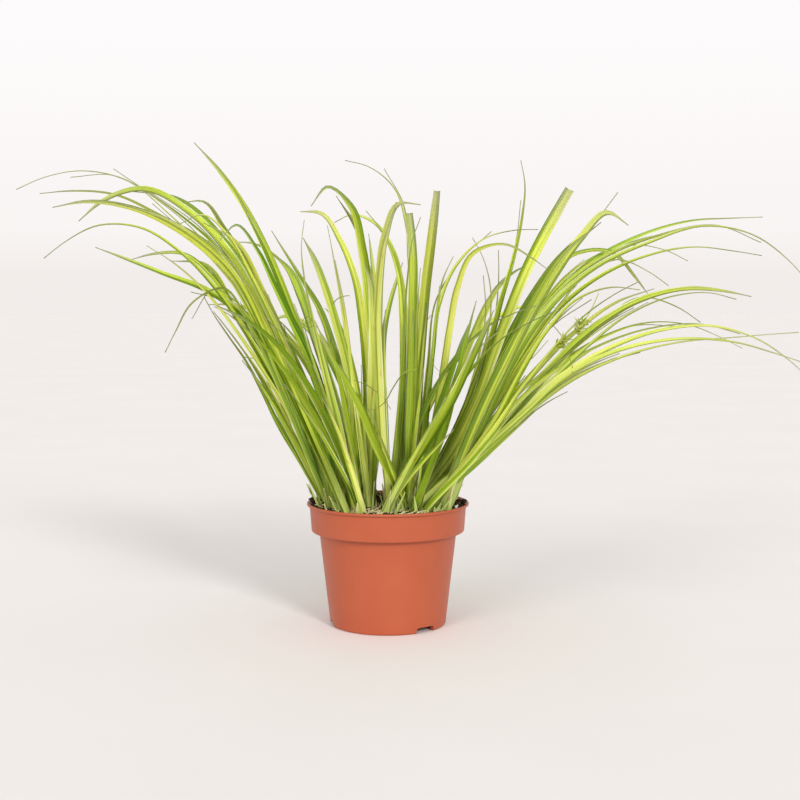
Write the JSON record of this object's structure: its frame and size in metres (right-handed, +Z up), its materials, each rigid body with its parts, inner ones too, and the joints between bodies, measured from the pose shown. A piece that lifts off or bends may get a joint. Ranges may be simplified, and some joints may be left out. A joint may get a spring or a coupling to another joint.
{
  "type": "potted ornamental grass",
  "caption": "Clump of narrow arching green grass leaves in a round tapered plastic nursery pot with a collar, for free standing on a flat surface.",
  "frame": {"origin": "centre of the pot's foot, on the surface it stands on; the farthest leaf tips lie equally far from it to the left and right and to the front and back", "axes": "+Z up along the pot's axis, +X to the right as the picture sees it, along the clump's widest spread, +Y away from the viewer"},
  "size_m": [0.6, 0.42, 0.355],
  "materials": {
    "pot_plastic": "satin",
    "peat": "matte",
    "grass_leaf": "satin"
  },
  "bodies": {
    "root": {"flower_stalk": "grass_leaf", "pot": "pot_plastic", "shoot_back_01": "grass_leaf", "shoot_back_02": "grass_leaf", "shoot_back_03": "grass_leaf", "shoot_back_04": "grass_leaf", "shoot_front_01": "grass_leaf", "shoot_front_02": "grass_leaf", "shoot_front_03": "grass_leaf", "shoot_front_04": "grass_leaf", "shoot_front_05": "grass_leaf", "shoot_front_06": "grass_leaf", "shoot_heart_01": "grass_leaf", "shoot_left_01": "grass_leaf", "shoot_left_02": "grass_leaf", "shoot_left_03": "grass_leaf", "shoot_left_04": "grass_leaf", "shoot_left_05": "grass_leaf", "shoot_left_06": "grass_leaf", "shoot_left_07": "grass_leaf", "shoot_left_08": "grass_leaf", "shoot_left_09": "grass_leaf", "shoot_left_10": "grass_leaf", "shoot_left_11": "grass_leaf", "shoot_middle_01": "grass_leaf", "shoot_middle_02": "grass_leaf", "shoot_middle_03": "grass_leaf", "shoot_middle_04": "grass_leaf", "shoot_middle_05": "grass_leaf", "shoot_middle_06": "grass_leaf", "shoot_middle_07": "grass_leaf", "shoot_middle_08": "grass_leaf", "shoot_middle_09": "grass_leaf", "shoot_middle_10": "grass_leaf", "shoot_right_01": "grass_leaf", "shoot_right_02": "grass_leaf", "shoot_right_03": "grass_leaf", "shoot_right_04": "grass_leaf", "shoot_right_05": "grass_leaf", "shoot_right_06": "grass_leaf", "shoot_right_07": "grass_leaf", "shoot_right_08": "grass_leaf", "shoot_right_09": "grass_leaf", "shoot_right_10": "grass_leaf", "shoot_right_11": "grass_leaf", "shoot_right_12": "grass_leaf", "shoot_right_13": "grass_leaf", "shoot_right_14": "grass_leaf", "shoot_right_15": "grass_leaf", "soil": "peat"}
  },
  "joints": []
}
